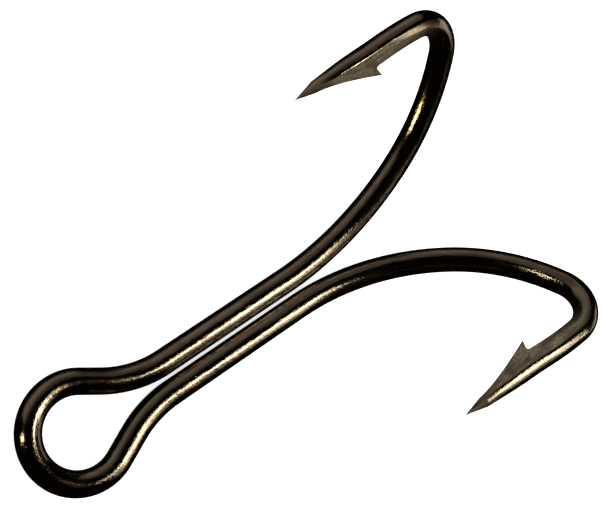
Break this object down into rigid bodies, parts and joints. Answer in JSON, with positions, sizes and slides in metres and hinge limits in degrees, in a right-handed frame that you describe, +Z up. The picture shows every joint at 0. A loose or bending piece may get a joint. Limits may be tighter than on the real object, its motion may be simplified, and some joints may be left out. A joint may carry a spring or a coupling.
{
  "type": "double fishing hook",
  "caption": "Double fishing hook bent from one length of bronzed wire: an open teardrop eye, paired shanks side by side, and two arms that rise and spread to tight bends and barbed points.",
  "frame": {"origin": "the centre of the eye's round, on the wire's centreline plane", "axes": "+X runs along the shanks from the eye to the bends, +Y is the left hook's side, +Z is up, the side that both arms rise to"},
  "size_m": [0.0438, 0.0288, 0.0114],
  "materials": {
    "bronzed_wire": "gloss brown-black lacquer over steel wire",
    "ground_point": "satin brown lacquer over ground steel"
  },
  "bodies": {
    "root": {"eye": "bronzed_wire", "shank_left": "bronzed_wire", "shank_right": "bronzed_wire", "arm_left": "bronzed_wire", "arm_right": "bronzed_wire", "bend_left": "bronzed_wire", "bend_right": "bronzed_wire", "point_left": "ground_point", "point_right": "ground_point"}
  },
  "joints": []
}
